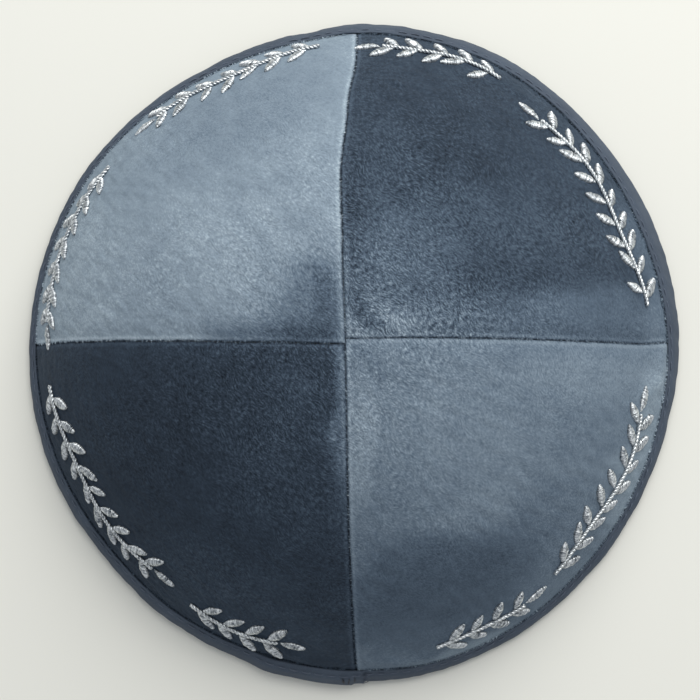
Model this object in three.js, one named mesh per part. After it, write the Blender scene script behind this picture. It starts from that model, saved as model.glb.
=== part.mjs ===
// A kippah: a skullcap of four velvet panels sewn into a dome, its edge bound with folded tape.
//
// Millimetres, +Z up. The cap rests on the plane z = 0 with its crown on top. The origin is on that
// plane, under the middle of the cap. +X is the cap's right and -Y its front, where the tape's ends
// meet. Azimuths are in degrees from +X towards +Y.
//
// Every piece is worked out from one surface, the velvet face of the dome. A place on it is an
// azimuth and a share of the way down, 0 at the crown and 1 at the panels' lower edge. A third
// number, the offset, moves off the face along its normal: above 0 is outside the velvet, and
// -CLOTH is the inside of the cap.

import * as THREE from 'three';

// Driving dimensions
const RIM_RADIUS = 86; // middle of the cap to the outside of the binding, on average
const CAP_HEIGHT = 52; // rest plane to the top of the crown
const CLOTH = 1.6; // one panel's wall: velvet, stiffening and inner cloth
const TAPE = 1; // binding tape, a double thickness of folded cloth
const GAP = 0.3; // clearance between two pieces that touch on the real cap
const REST_FLAT = 0.35; // how far the binding's round underside is pressed flat by the cap's weight
const INNER_LEG = 4; // height of the binding's leg inside the cap
const LEG_ROUND = 0.4; // rounding at the free end of each leg
const SEAM_DIP = { depth: 0.5, width: 3 }; // the panels roll in towards each seam
const RELIEF_ENDS = [0.91, 0.965]; // shares between which seam dips and folds die away
const LAP = { from: 250, to: 270.3, thickness: 1, ramp: 6 }; // the tape's end laid over its start
const MIDDLE = { x: 0.14, y: 0.48 }; // brings the middle of the uneven rim over the origin

// Fineness of the facets
const PANEL_ROWS = 16;
const PANEL_COLUMNS = 16;
const RIM_STEPS = 96;
const EDGE_STEPS = 8;
const CHANNEL_STEPS = 4;
const FIRST_ROW = 2.2; // how far from the crown the first row of a panel's facets runs

// Worked out from them
const CHANNEL = CLOTH / 2 + GAP; // middle of the cloth to the inside of the tape
const EDGE_ROUND = CHANNEL + TAPE; // middle of the cloth to the outside of the tape
const MEAN_SLOPE = THREE.MathUtils.degToRad(62); // of the dome at the rim
const EDGE_HEIGHT = EDGE_ROUND - REST_FLAT + (CLOTH / 2) * Math.cos(MEAN_SLOPE);
const EDGE_RADIUS = RIM_RADIUS - EDGE_ROUND + (CLOTH / 2) * Math.sin(MEAN_SLOPE);
const DOME_CENTRE = CAP_HEIGHT - EDGE_RADIUS / Math.sin(MEAN_SLOPE); // height of its ball's middle

// One row for each section round the rim: how far it reaches beyond RIM_RADIUS, how full the dome's
// side is there, as the angle of the arc from crown to edge, and the height of the binding's outer leg.
const RIM_SECTIONS = [
  { azimuth: 0, reach: -0.3, fullness: 61, leg: 4.8 },
  { azimuth: 22, reach: -0.1, fullness: 58, leg: 6.2 },
  { azimuth: 42, reach: 0.1, fullness: 60, leg: 5.0 },
  { azimuth: 62, reach: 1.3, fullness: 62, leg: 4.8 },
  { azimuth: 80, reach: 1.1, fullness: 64, leg: 4.6 },
  { azimuth: 90, reach: 0.8, fullness: 64, leg: 4.6 },
  { azimuth: 98, reach: -0.4, fullness: 64, leg: 4.2 },
  { azimuth: 120, reach: -1.1, fullness: 65, leg: 3.6 },
  { azimuth: 145, reach: -0.1, fullness: 70, leg: 3.0 },
  { azimuth: 170, reach: 0, fullness: 72, leg: 3.0 },
  { azimuth: 200, reach: 0, fullness: 66, leg: 4.6 },
  { azimuth: 220, reach: -0.7, fullness: 64, leg: 4.6 },
  { azimuth: 236, reach: 0, fullness: 62, leg: 4.8 },
  { azimuth: 252, reach: 0.3, fullness: 60, leg: 5.0 },
  { azimuth: 269, reach: 0.85, fullness: 62, leg: 5.0 },
  { azimuth: 285, reach: 0.9, fullness: 68, leg: 4.0 },
  { azimuth: 300, reach: 0.1, fullness: 69, leg: 3.4 },
  { azimuth: 320, reach: -0.9, fullness: 67, leg: 3.4 },
  { azimuth: 345, reach: -1.2, fullness: 65, leg: 3.8 },
];

// One row for each level: how far each seam wanders there from its straight line through the crown,
// towards greater azimuths. The left and right seams miss each other at the crown, because the back
// and front seams are sewn last, in one run.
const SEAM_LEVELS = [
  { share: 0, right: 0.6, back: 0, left: 0.7, front: 0 },
  { share: 0.2, right: 0.8, back: 0.8, left: 0.1, front: 0.25 },
  { share: 0.4, right: 0.8, back: 1.5, left: -0.5, front: 0.4 },
  { share: 0.6, right: 0.7, back: 0.2, left: -1.0, front: 0.65 },
  { share: 0.8, right: 0.7, back: -1.4, left: -1.3, front: 0.9 },
  { share: 1, right: 1.8, back: -1.3, left: -1.3, front: 1.2 },
];

// One row for each soft fold above the rim: its middle, the bearing of its line (0 runs down the
// dome and 90 round it), its half length and half width, and how far it stands out.
const FOLDS = [
  { azimuth: 357, share: 0.94, bearing: 90, length: 8, width: 3.5, height: 0.8 },
  { azimuth: 352, share: 0.88, bearing: 35, length: 6, width: 3.5, height: 0.7 },
  { azimuth: 280, share: 0.93, bearing: 75, length: 10, width: 3.5, height: 0.9 },
  { azimuth: 262, share: 0.94, bearing: 88, length: 11, width: 3.5, height: 0.7 },
  { azimuth: 158, share: 0.9, bearing: 90, length: 14, width: 4, height: -0.6 },
  { azimuth: 60, share: 0.9, bearing: 85, length: 16, width: 4, height: 0.5 },
];

const SEAMS = { right: 0, back: 90, left: 180, front: 270 };
const PANELS = [
  { name: 'crown_panel_back_right', from: 'right', to: 'back', colour: 0x42526a },
  { name: 'crown_panel_back_left', from: 'back', to: 'left', colour: 0x83929f },
  { name: 'crown_panel_front_left', from: 'left', to: 'front', colour: 0x2b3646 },
  { name: 'crown_panel_front_right', from: 'front', to: 'right', colour: 0x667585 },
];
const BINDING_COLOUR = 0x4e5868;

const { degToRad, smoothstep } = THREE.MathUtils;

// A smooth curve through the four values b and c lie between, at t of the way from b to c.
function between(a, b, c, d, t) {
  const bend = 2 * b - 2 * c + (c - a) / 2 + (d - b) / 2;
  const rise = (c - a) / 2;
  return b + rise * t + (c - b - rise - bend) * t * t + bend * t * t * t;
}

// The rim's section at any azimuth, smoothly between the rows of RIM_SECTIONS.
function rimAt(azimuth) {
  const turn = ((azimuth % 360) + 360) % 360;
  const count = RIM_SECTIONS.length;
  const next = RIM_SECTIONS.findIndex((row) => row.azimuth > turn);
  const first = (next < 0 ? count : next) - 1;
  const rows = [-1, 0, 1, 2].map((step) => RIM_SECTIONS[(first + step + count) % count]);
  const span = (rows[2].azimuth - rows[1].azimuth + 360) % 360;
  const along = (turn - rows[1].azimuth) / span;
  const read = (column) => between(...rows.map((row) => row[column]), along);
  return { reach: read('reach'), fullness: degToRad(read('fullness')), leg: read('leg') };
}

// How far down the dome a share is, as the level distance from the crown's axis.
function radiusAt(azimuth, share) {
  const { reach, fullness } = rimAt(azimuth);
  return ((EDGE_RADIUS + reach) * Math.sin(share * fullness)) / Math.sin(fullness);
}

// How far a seam lies off its straight line at a share of the way down.
function wander(seam, share) {
  const level = Math.max(0, Math.min(share, 1));
  const next = Math.max(1, SEAM_LEVELS.findIndex((row) => row.share >= level));
  const [above, below] = [SEAM_LEVELS[next - 1], SEAM_LEVELS[next]];
  const along = smoothstep(level, above.share, below.share);
  return above[seam] + (below[seam] - above[seam]) * along;
}

// The azimuth of a line that runs beside a seam, aside millimetres towards greater azimuths.
function beside(seam, share, aside) {
  const turn = Math.asin((wander(seam, share) + aside) / radiusAt(SEAMS[seam], share));
  return SEAMS[seam] + THREE.MathUtils.radToDeg(turn);
}

// How far the velvet stands off the smooth dome: in at the seams, out or in at the folds. All of it
// dies away where the binding holds the edge.
function relief(azimuth, share) {
  const radius = radiusAt(azimuth, share);
  const apart = (from) => degToRad(((azimuth - from + 540) % 360) - 180) * radius;
  const arc = CAP_HEIGHT - DOME_CENTRE;
  let height = 0;
  for (const seam of Object.keys(SEAMS)) {
    const away = (apart(SEAMS[seam]) - wander(seam, share)) / SEAM_DIP.width;
    const sameSide = Math.cos(degToRad(azimuth - SEAMS[seam])) > 0 ? 1 : 0;
    height -= sameSide * SEAM_DIP.depth * Math.exp(-away * away);
  }
  for (const fold of FOLDS) {
    const bearing = degToRad(fold.bearing);
    const round = apart(fold.azimuth);
    const down = (share - fold.share) * arc * rimAt(azimuth).fullness;
    const along = (down * Math.cos(bearing) + round * Math.sin(bearing)) / fold.length;
    const across = (down * Math.sin(bearing) - round * Math.cos(bearing)) / fold.width;
    height += fold.height * Math.exp(-along * along - across * across);
  }
  return height * (1 - smoothstep(share, ...RELIEF_ENDS));
}

// The velvet face: an arc from crown to edge, swung round the axis, and moved by the relief along
// the line from the middle of the dome's ball.
function face(azimuth, share) {
  const { fullness } = rimAt(azimuth);
  const fall = (1 - Math.cos(share * fullness)) / (1 - Math.cos(fullness));
  const radius = radiusAt(azimuth, share);
  const turn = degToRad(azimuth);
  const point = new THREE.Vector3(
    radius * Math.cos(turn),
    radius * Math.sin(turn),
    CAP_HEIGHT - (CAP_HEIGHT - EDGE_HEIGHT) * fall,
  );
  const outward = point.clone().setZ(point.z - DOME_CENTRE).normalize();
  return point.addScaledVector(outward, relief(azimuth, share));
}

// A point of the cloth: the face at this place, moved offset millimetres along its normal.
function cloth(azimuth, share, offset) {
  const turn = 0.5;
  const step = 0.002;
  const round = face(azimuth + turn, share).sub(face(azimuth - turn, share));
  const down = face(azimuth, share + step).sub(face(azimuth, share - step));
  const normal = down.cross(round).normalize();
  const point = face(azimuth, share).addScaledVector(normal, offset);
  return point.add(new THREE.Vector3(MIDDLE.x, MIDDLE.y, 0));
}

// Gathers points and four-sided patches into one closed mesh.
class Shell {
  points = [];
  faces = [];

  add(point) {
    this.points.push(point.x, point.y, point.z);
    return this.points.length / 3 - 1;
  }

  patch(a, b, c, d) {
    this.faces.push(a, b, c, a, c, d);
  }

  // Patches between two lines of points, seen from outside with line b to the right of line a.
  strip(a, b) {
    for (let i = 1; i < a.length; i += 1) {
      this.patch(a[i - 1], b[i - 1], b[i], a[i]);
    }
  }

  mesh(name, colour) {
    const geometry = new THREE.BufferGeometry();
    geometry.setAttribute('position', new THREE.Float32BufferAttribute(this.points, 3));
    geometry.setIndex(this.faces);
    geometry.computeVertexNormals();
    const material = new THREE.MeshStandardMaterial({ color: colour, roughness: 0.9, metalness: 0 });
    const mesh = new THREE.Mesh(geometry, material);
    mesh.name = name;
    return mesh;
  }
}

// The inner corner of a panel, where the lines beside its two seams cross near the crown.
function crownCorner(panel) {
  const turn = degToRad(SEAMS[panel.from]);
  const up = wander(panel.from, 0) + GAP / 2;
  const back = wander(panel.to, 0) - GAP / 2;
  const x = -up * Math.sin(turn) - back * Math.cos(turn);
  const y = up * Math.cos(turn) - back * Math.sin(turn);
  const azimuth = THREE.MathUtils.radToDeg(Math.atan2(y, x));
  const { fullness } = rimAt(azimuth);
  return { azimuth, share: (Math.hypot(x, y) * Math.sin(fullness)) / (EDGE_RADIUS * fullness) };
}

// One quarter of the dome: a wall of cloth between two seams, from its corner at the crown to the
// lower edge, with the velvet face outside and the inner cloth inside.
function crownPanel(panel) {
  const shell = new Shell();
  const start = FIRST_ROW / (EDGE_RADIUS / Math.sin(MEAN_SLOPE)) / MEAN_SLOPE;
  const corner = crownCorner(panel);
  const tip = [0, -CLOTH].map((offset) => shell.add(cloth(corner.azimuth, corner.share, offset)));
  const rows = [[], []];
  for (let i = 0; i <= PANEL_ROWS; i += 1) {
    const share = start + ((1 - start) * i) / PANEL_ROWS;
    const first = beside(panel.from, share, GAP / 2);
    const last = beside(panel.to, share, -GAP / 2);
    const width = (last - first + 360) % 360;
    [0, -CLOTH].forEach((offset, side) => {
      const row = [];
      for (let j = 0; j <= PANEL_COLUMNS; j += 1) {
        row.push(shell.add(cloth(first + (width * j) / PANEL_COLUMNS, share, offset)));
      }
      rows[side].push(row);
    });
  }
  const [outside, inside] = rows;
  for (let i = 1; i <= PANEL_ROWS; i += 1) {
    shell.strip(outside[i - 1], outside[i]);
    shell.strip(inside[i], inside[i - 1]);
  }
  for (let j = 1; j <= PANEL_COLUMNS; j += 1) {
    shell.faces.push(tip[0], outside[0][j - 1], outside[0][j]);
    shell.faces.push(tip[1], inside[0][j], inside[0][j - 1]);
  }
  const edge = (side, column) => [tip[side], ...rows[side].map((row) => row.at(column))];
  shell.strip(edge(0, 0), edge(1, 0));
  shell.strip(edge(1, -1), edge(0, -1));
  shell.strip(outside.at(-1), inside.at(-1));
  return shell.mesh(panel.name, panel.colour);
}

// How much the tape's overlapping end adds to its thickness.
function lapAt(azimuth) {
  const over = azimuth > LAP.to ? 0 : smoothstep(azimuth, LAP.from, LAP.from + LAP.ramp);
  return LAP.thickness * over;
}

// The binding's section: a tape folded round the panels' edge. Each point is how far it lies below
// the edge of the cloth, and how far out from the middle of the cloth's thickness.
function bindingSection(azimuth) {
  const outside = EDGE_ROUND + lapAt(azimuth);
  const { leg } = rimAt(azimuth);
  const points = [
    { below: -leg, out: CHANNEL },
    { below: -leg, out: outside - LEG_ROUND },
    { below: -leg + LEG_ROUND, out: outside },
  ];
  for (let i = 0; i <= EDGE_STEPS; i += 1) {
    const turn = (Math.PI * i) / EDGE_STEPS;
    const radius = outside + ((EDGE_ROUND - outside) * i) / EDGE_STEPS;
    points.push({ below: radius * Math.sin(turn), out: radius * Math.cos(turn) });
  }
  points.push(
    { below: -INNER_LEG + LEG_ROUND, out: -EDGE_ROUND },
    { below: -INNER_LEG, out: LEG_ROUND - EDGE_ROUND },
    { below: -INNER_LEG, out: -CHANNEL },
  );
  for (let i = CHANNEL_STEPS; i >= 0; i -= 1) {
    const turn = (Math.PI * i) / CHANNEL_STEPS;
    points.push({ below: CHANNEL * Math.sin(turn), out: CHANNEL * Math.cos(turn) });
  }
  return points;
}

// The tape all the way round the rim, pressed flat where it meets the rest plane.
function rimBinding() {
  const shell = new Shell();
  const azimuths = Array.from({ length: RIM_STEPS }, (_, i) => (360 * i) / RIM_STEPS);
  azimuths.push(LAP.to, LAP.to + 0.4);
  azimuths.sort((a, b) => a - b);
  const arc = (CAP_HEIGHT - DOME_CENTRE) * MEAN_SLOPE;
  const rings = azimuths.map((azimuth) =>
    bindingSection(azimuth).map(({ below, out }) => {
      const point = cloth(azimuth, 1 + below / arc, out - CLOTH / 2);
      return shell.add(point.setZ(Math.max(point.z, 0)));
    }),
  );
  rings.forEach((ring, i) => {
    const next = rings[(i + 1) % rings.length];
    shell.strip([...next, next[0]], [...ring, ring[0]]);
  });
  return shell.mesh('rim_binding', BINDING_COLOUR);
}

const kippah = new THREE.Group();
PANELS.forEach((panel) => kippah.add(crownPanel(panel)));
kippah.add(rimBinding());

export default kippah;
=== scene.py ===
# %% [markdown]
# # A velvet kippah
# The object is a skullcap: four velvet panels sewn into a dome, silver embroidery above the rim, and
# a tape folded round the edge. Blender could start from a sphere and sculpt it, but a sewn cap has
# rules of its own: the seams wander, the rim is not quite round, the pile rolls in at each seam. So
# every piece here is worked out from one surface, the velvet face of the dome, as whole numpy
# arrays. The imported model gives the frame that it all sits in, and its box is printed at the end.

import bpy
import numpy as np
from mathutils import Matrix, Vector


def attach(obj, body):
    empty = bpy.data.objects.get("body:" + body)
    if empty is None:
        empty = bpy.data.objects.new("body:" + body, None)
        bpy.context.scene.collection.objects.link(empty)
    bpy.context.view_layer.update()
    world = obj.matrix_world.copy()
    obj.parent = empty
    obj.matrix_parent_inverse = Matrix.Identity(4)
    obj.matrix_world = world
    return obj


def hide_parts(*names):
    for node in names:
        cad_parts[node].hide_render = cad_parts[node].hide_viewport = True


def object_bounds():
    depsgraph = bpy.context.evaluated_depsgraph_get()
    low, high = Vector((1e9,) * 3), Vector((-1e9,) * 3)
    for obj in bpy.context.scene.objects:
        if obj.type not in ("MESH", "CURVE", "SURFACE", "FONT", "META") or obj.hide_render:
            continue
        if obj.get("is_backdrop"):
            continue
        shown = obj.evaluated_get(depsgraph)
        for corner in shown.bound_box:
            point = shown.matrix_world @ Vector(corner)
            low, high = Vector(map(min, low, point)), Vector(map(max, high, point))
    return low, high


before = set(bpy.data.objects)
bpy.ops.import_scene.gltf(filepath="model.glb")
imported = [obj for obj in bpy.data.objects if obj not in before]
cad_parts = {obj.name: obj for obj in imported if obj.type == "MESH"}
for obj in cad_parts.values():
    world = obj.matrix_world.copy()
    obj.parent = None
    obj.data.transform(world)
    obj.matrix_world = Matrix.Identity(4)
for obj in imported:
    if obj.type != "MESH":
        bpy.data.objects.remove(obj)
cad_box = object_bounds()
print("the cap's box in millimetres:", [tuple(round(v * 1000, 1) for v in corner) for corner in cad_box])

# %% [markdown]
# ## The camera
# The cap lies on a table and is seen from almost straight above, from about arm's length. The
# camera stands a little to the right and to the front of the middle, so the crown leans up and left
# in the view. A long lens keeps the rim close to a true circle. It is aimed by hand-made axes, as a
# look-at constraint would leave the camera's own rotation empty.

# %% Camera
MM = 0.001
CAMERA_PLACE = np.array([15.4, -19.4, 450]) * MM
CAMERA_TARGET = np.array([-0.6, 0.6, 0]) * MM
LENS, SENSOR = 87.4, 36


def add_camera(place, target):
    """A camera whose -Z axis runs from place to target and whose Y axis keeps towards +Y."""
    back = (place - target) / np.linalg.norm(place - target)
    right = np.cross([0, 1, 0], back)
    right /= np.linalg.norm(right)
    up = np.cross(back, right)
    lens = bpy.data.cameras.new("camera")
    lens.lens, lens.sensor_width = LENS, SENSOR
    lens.clip_start, lens.clip_end = 0.01, 20
    camera = bpy.data.objects.new("camera", lens)
    turn = np.eye(4)
    turn[:3, :3] = np.stack([right, up, back], axis=1)
    turn[:3, 3] = place
    camera.matrix_world = Matrix(turn.tolist())
    bpy.context.scene.collection.objects.link(camera)
    return camera


bpy.context.scene.camera = add_camera(CAMERA_PLACE, CAMERA_TARGET)
print("camera height in millimetres:", CAMERA_PLACE[2] / MM)

# %% [markdown]
# ## The velvet face
# A place on the dome is an azimuth and a share of the way down its arc: 0 at the crown, 1 at the
# panels' lower edge. Two short tables bend a plain ball into this cap. One goes round the rim, with
# how far it reaches and how full the side is there. The other goes down the seams, with how far
# each one wanders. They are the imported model's own figures, so the soft pieces lie where the solids
# are.

# %% Sizes of the cap
RIM_RADIUS = 86 * MM
CAP_HEIGHT = 52 * MM
CLOTH = 1.6 * MM
TAPE = 1.0 * MM
CLEARANCE = 0.3 * MM
REST_FLAT = 0.35 * MM
MEAN_SLOPE = np.radians(62)
MIDDLE = np.array([0.14, 0.48, 0]) * MM
EDGE_ROUND = CLOTH / 2 + CLEARANCE + TAPE
EDGE_HEIGHT = EDGE_ROUND - REST_FLAT + CLOTH / 2 * np.cos(MEAN_SLOPE)
EDGE_RADIUS = RIM_RADIUS - EDGE_ROUND + CLOTH / 2 * np.sin(MEAN_SLOPE)
DOME_CENTRE = CAP_HEIGHT - EDGE_RADIUS / np.sin(MEAN_SLOPE)
BALL = CAP_HEIGHT - DOME_CENTRE
print("radius of the dome's ball in millimetres:", round(BALL / MM, 1))

# %% The rim's sections and the seams' levels
# Azimuth in degrees, reach in millimetres, fullness in degrees, height of the tape's leg in
# millimetres.
RIM_SECTIONS = np.array([
    (0, -0.3, 61, 4.8), (22, -0.1, 58, 6.2), (42, 0.1, 60, 5.0), (62, 1.3, 62, 4.8),
    (80, 1.1, 64, 4.6), (90, 0.8, 64, 4.6), (98, -0.4, 64, 4.2), (120, -1.1, 65, 3.6),
    (145, -0.1, 70, 3.0), (170, 0, 72, 3.0), (200, 0, 66, 4.6), (220, -0.7, 64, 4.6),
    (236, 0, 62, 4.8), (252, 0.3, 60, 5.0), (269, 0.85, 62, 5.0), (285, 0.9, 68, 4.0),
    (300, 0.1, 69, 3.4), (320, -0.9, 67, 3.4), (345, -1.2, 65, 3.8),
])
SEAM_AZIMUTHS = {"right": 0, "back": 90, "left": 180, "front": 270}
SEAM_SHARES = np.array([0, 0.2, 0.4, 0.6, 0.8, 1])
# Millimetres towards greater azimuths at each of those shares.
SEAM_WANDER = {
    "right": (0.6, 0.8, 0.8, 0.7, 0.7, 1.8),
    "back": (0, 0.8, 1.5, 0.2, -1.4, -1.3),
    "left": (0.7, 0.1, -0.5, -1.0, -1.3, -1.3),
    "front": (0, 0.25, 0.4, 0.65, 0.9, 1.2),
}
# Azimuth, share, bearing (0 down the dome, 90 round it), half length, half width, height.
FOLDS = [
    (357, 0.94, 90, 8, 3.5, 0.8), (352, 0.88, 35, 6, 3.5, 0.7), (280, 0.93, 75, 10, 3.5, 0.9),
    (262, 0.94, 88, 11, 3.5, 0.7), (158, 0.9, 90, 14, 4, -0.6), (60, 0.9, 85, 16, 4, 0.5),
]
SEAM_DIP_DEPTH, SEAM_DIP_WIDTH = 0.5 * MM, 3 * MM
RELIEF_ENDS = (0.91, 0.965)

# %% Reading the tables
def smooth(value, low, high):
    """Rises from 0 at low to 1 at high along 3t^2 - 2t^3."""
    t = np.clip((value - low) / (high - low), 0, 1)
    return t * t * (3 - 2 * t)


def rim_at(azimuth):
    """Reach, fullness and leg at an azimuth: a cubic through the four nearest rows, closed round the rim."""
    turn = np.mod(np.degrees(azimuth), 360)
    first = np.searchsorted(RIM_SECTIONS[:, 0], turn, side="right") - 1
    a, b, c, d = (RIM_SECTIONS[(first + step) % len(RIM_SECTIONS)] for step in (-1, 0, 1, 2))
    t = ((turn - b[..., 0]) / ((c[..., 0] - b[..., 0]) % 360))[..., None]
    a, b, c, d = (row[..., 1:] for row in (a, b, c, d))
    rise = (c - a) / 2
    bend = 2 * b - 2 * c + rise + (d - b) / 2
    value = b + rise * t + (c - b - rise - bend) * t**2 + bend * t**3
    return value[..., 0] * MM, np.radians(value[..., 1]), value[..., 2] * MM


def radius_at(azimuth, share):
    """Level distance from the axis: the edge's radius times sin(share x fullness) / sin(fullness)."""
    reach, fullness, _ = rim_at(azimuth)
    return (EDGE_RADIUS + reach) * np.sin(share * fullness) / np.sin(fullness)


def wander(seam, share):
    """How far a seam lies off its straight line, eased from level to level."""
    level = np.clip(share, 0, 1)
    after = np.clip(np.searchsorted(SEAM_SHARES, level), 1, len(SEAM_SHARES) - 1)
    run = np.array(SEAM_WANDER[seam]) * MM
    eased = smooth(level, SEAM_SHARES[after - 1], SEAM_SHARES[after])
    return run[after - 1] + (run[after] - run[after - 1]) * eased


# %% The relief, the face and the cloth's thickness
def relief(azimuth, share):
    """Height off the smooth dome: a bell-shaped dip along each seam and a bell-shaped ridge for each fold."""
    radius = radius_at(azimuth, share)
    _, fullness, _ = rim_at(azimuth)
    height = np.zeros_like(radius)

    def round_from(degrees):
        return (np.mod(azimuth - np.radians(degrees) + np.pi, 2 * np.pi) - np.pi) * radius

    for seam, at in SEAM_AZIMUTHS.items():
        away = (round_from(at) - wander(seam, share)) / SEAM_DIP_WIDTH
        height -= (np.cos(azimuth - np.radians(at)) > 0) * SEAM_DIP_DEPTH * np.exp(-away**2)
    for at, level, bearing, length, width, rise in FOLDS:
        turn = np.radians(bearing)
        down = (share - level) * BALL * fullness
        along = (down * np.cos(turn) + round_from(at) * np.sin(turn)) / (length * MM)
        across = (down * np.sin(turn) - round_from(at) * np.cos(turn)) / (width * MM)
        height += rise * MM * np.exp(-along**2 - across**2)
    return height * (1 - smooth(share, *RELIEF_ENDS))


def face(azimuth, share):
    """A point of the velvet: an arc swung round the axis, moved by the relief away from the ball's middle."""
    _, fullness, _ = rim_at(azimuth)
    fall = (1 - np.cos(share * fullness)) / (1 - np.cos(fullness))
    radius = radius_at(azimuth, share)
    height = CAP_HEIGHT - (CAP_HEIGHT - EDGE_HEIGHT) * fall
    point = np.stack([radius * np.cos(azimuth), radius * np.sin(azimuth), height], axis=-1)
    outward = point - [0, 0, DOME_CENTRE]
    outward /= np.linalg.norm(outward, axis=-1, keepdims=True)
    return point + outward * relief(azimuth, share)[..., None]


def normal_at(azimuth, share):
    """The face's normal: the cross product of its slopes down the dome and round it."""
    turn, step = np.radians(0.5), 0.002
    down = face(azimuth, share + step) - face(azimuth, share - step)
    across = face(azimuth + turn, share) - face(azimuth - turn, share)
    normal = np.cross(down, across)
    return normal / np.linalg.norm(normal, axis=-1, keepdims=True)


def cloth(azimuth, share, offset):
    """A point of the cap: the face moved by offset along its normal, in the model's frame."""
    azimuth, share, offset = np.broadcast_arrays(azimuth, share, offset)
    return face(azimuth, share) + normal_at(azimuth, share) * offset[..., None] + MIDDLE


crown = cloth(np.zeros(1), np.full(1, 0.001), np.zeros(1))[0]
print("crown height in millimetres:", round(crown[2] / MM, 2), "packed:", round(cad_box[1].z / MM, 2))

# %% [markdown]
# ## Making meshes and materials
# Two helpers keep the rest short. The first turns arrays of points and faces into a piece that rides
# on the cap's one body, with its place in its mesh. The second adds a shader node, with its settings
# as keywords and its inputs as a dictionary of values or of sockets to link.

# %% Helpers
def add_piece(name, points, faces, materials, uv=None, attributes=None, second=0):
    """One mesh from points (n, 3) and a list of face arrays (m, 3) or (m, 4). The last `second` faces wear material 1."""
    mesh = bpy.data.meshes.new(name)
    corners = np.concatenate([block.ravel() for block in faces]).astype(np.int32)
    sizes = np.concatenate([np.full(len(block), block.shape[1]) for block in faces])
    mesh.vertices.add(len(points))
    mesh.vertices.foreach_set("co", np.asarray(points, np.float32).ravel())
    mesh.loops.add(len(corners))
    mesh.loops.foreach_set("vertex_index", corners)
    mesh.polygons.add(len(sizes))
    mesh.polygons.foreach_set("loop_start", (np.cumsum(sizes) - sizes).astype(np.int32))
    mesh.polygons.foreach_set("use_smooth", np.ones(len(sizes), bool))
    worn = (np.arange(len(sizes)) >= len(sizes) - second).astype(np.int32)
    for material in materials:
        mesh.materials.append(material)
    mesh.polygons.foreach_set("material_index", worn)
    mesh.update(calc_edges=True)
    if uv is not None:
        layer = mesh.uv_layers.new(name="cloth")
        layer.uv.foreach_set("vector", np.asarray(uv, np.float32)[corners].ravel())
    for key, values in (attributes or {}).items():
        mesh.attributes.new(key, "FLOAT", "POINT").data.foreach_set("value", values.astype(np.float32))
    mesh.validate()
    piece = bpy.data.objects.new(name, mesh)
    bpy.context.scene.collection.objects.link(piece)
    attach(piece, "root")
    triangles = int((sizes - 2).sum())
    print(f"{name}: {len(points)} points, {triangles} triangles")
    return piece


def grid_faces(rows, columns, start=0, wrap=False):
    """Quads between neighbouring rows of a grid numbered row by row. wrap joins the last column to the first."""
    across = columns if wrap else columns - 1
    row, column = np.meshgrid(np.arange(rows - 1), np.arange(across), indexing="ij")
    after = (column + 1) % columns
    quads = [row * columns + column, (row + 1) * columns + column, (row + 1) * columns + after, row * columns + after]
    return start + np.stack(quads, axis=-1).reshape(-1, 4)


def add_node(tree, kind, inputs=None, **settings):
    """A node in tree. Each input is a value, or another node's output socket to link."""
    made = tree.nodes.new(kind)
    for key, value in settings.items():
        setattr(made, key, value)
    for key, value in (inputs or {}).items():
        if isinstance(value, bpy.types.NodeSocket):
            tree.links.new(value, made.inputs[key])
        else:
            made.inputs[key].default_value = value
    return made


def calc(tree, operation, first, second=0.0):
    """A Math node's result."""
    return add_node(tree, "ShaderNodeMath", {0: first, 1: second}, operation=operation).outputs[0]


def noise(tree, vector, scale, detail=2.0, roughness=0.5):
    """A Noise texture's value, from 0 to 1 and 0.5 on average."""
    values = {"Vector": vector, "Scale": scale, "Detail": detail, "Roughness": roughness}
    return add_node(tree, "ShaderNodeTexNoise", values).outputs["Fac"]


def new_group(name, inputs, outputs):
    """An empty shader node group with named sockets: (kind, default) for each input, kind for each output."""
    group = bpy.data.node_groups.new(name, "ShaderNodeTree")
    for key, (kind, value) in inputs.items():
        socket = group.interface.new_socket(key, in_out="INPUT", socket_type=f"NodeSocket{kind}")
        if value is not None:
            socket.default_value = value
    for key, kind in outputs.items():
        group.interface.new_socket(key, in_out="OUTPUT", socket_type=f"NodeSocket{kind}")
    return group, group.nodes.new("NodeGroupInput").outputs, group.nodes.new("NodeGroupOutput")


def new_material(name, roughness, metallic=0.0):
    """A material with one Principled shader, and its tree and shader to build on."""
    material = bpy.data.materials.new(name)
    material.use_nodes = True
    tree = material.node_tree
    shader = tree.nodes["Principled BSDF"]
    shader.inputs["Roughness"].default_value = roughness
    shader.inputs["Metallic"].default_value = metallic
    return material, tree, shader


def srgb(red, green, blue):
    """A colour as it looks on a screen, 0 to 255, made linear for a shader."""
    value = np.array([red, green, blue]) / 255
    linear = np.where(value <= 0.04045, value / 12.92, ((value + 0.055) / 1.055) ** 2.4)
    return (*linear, 1.0)


# %% [markdown]
# ## Velvet
# Velvet is a forest of short upright threads. Where they lean to the light the cloth looks pale, and
# where they lean away you look down between them and it looks almost black. That is why four panels
# of one cloth come out in four shades. A hair system could grow real pile, but over a whole cap it
# costs more time than it shows. Here a number on each point, the painted nap shade, paints that light
# and shade into the colour: it says how pale the pile looks there under this one light. A node group
# breaks it up: slanting streaks, as the pile stands in rows, slow mottling where hands have stroked
# it, and single bright threads.

# %% Node group: pile
CLOTH_MAP = 220 * MM  # length that one unit of the cloth map stands for
PILE_BEARING = -45  # turns the rows of pile on the cloth map, in degrees
# The pile's colours from pile in shadow to pile in full light: the painted nap shade picks one, so light and shade
# are painted into the colour.
PILE_SHADES = ((0.0, (14, 19, 27)), (0.25, (48, 60, 74)), (0.5, (86, 101, 117)),
               (0.75, (129, 144, 157)), (1.0, (190, 205, 216)))


def centred(tree, value, weight):
    """A noise value moved to lie evenly about 0, times its weight."""
    return calc(tree, "MULTIPLY", calc(tree, "SUBTRACT", value, 0.5), weight)


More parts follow.
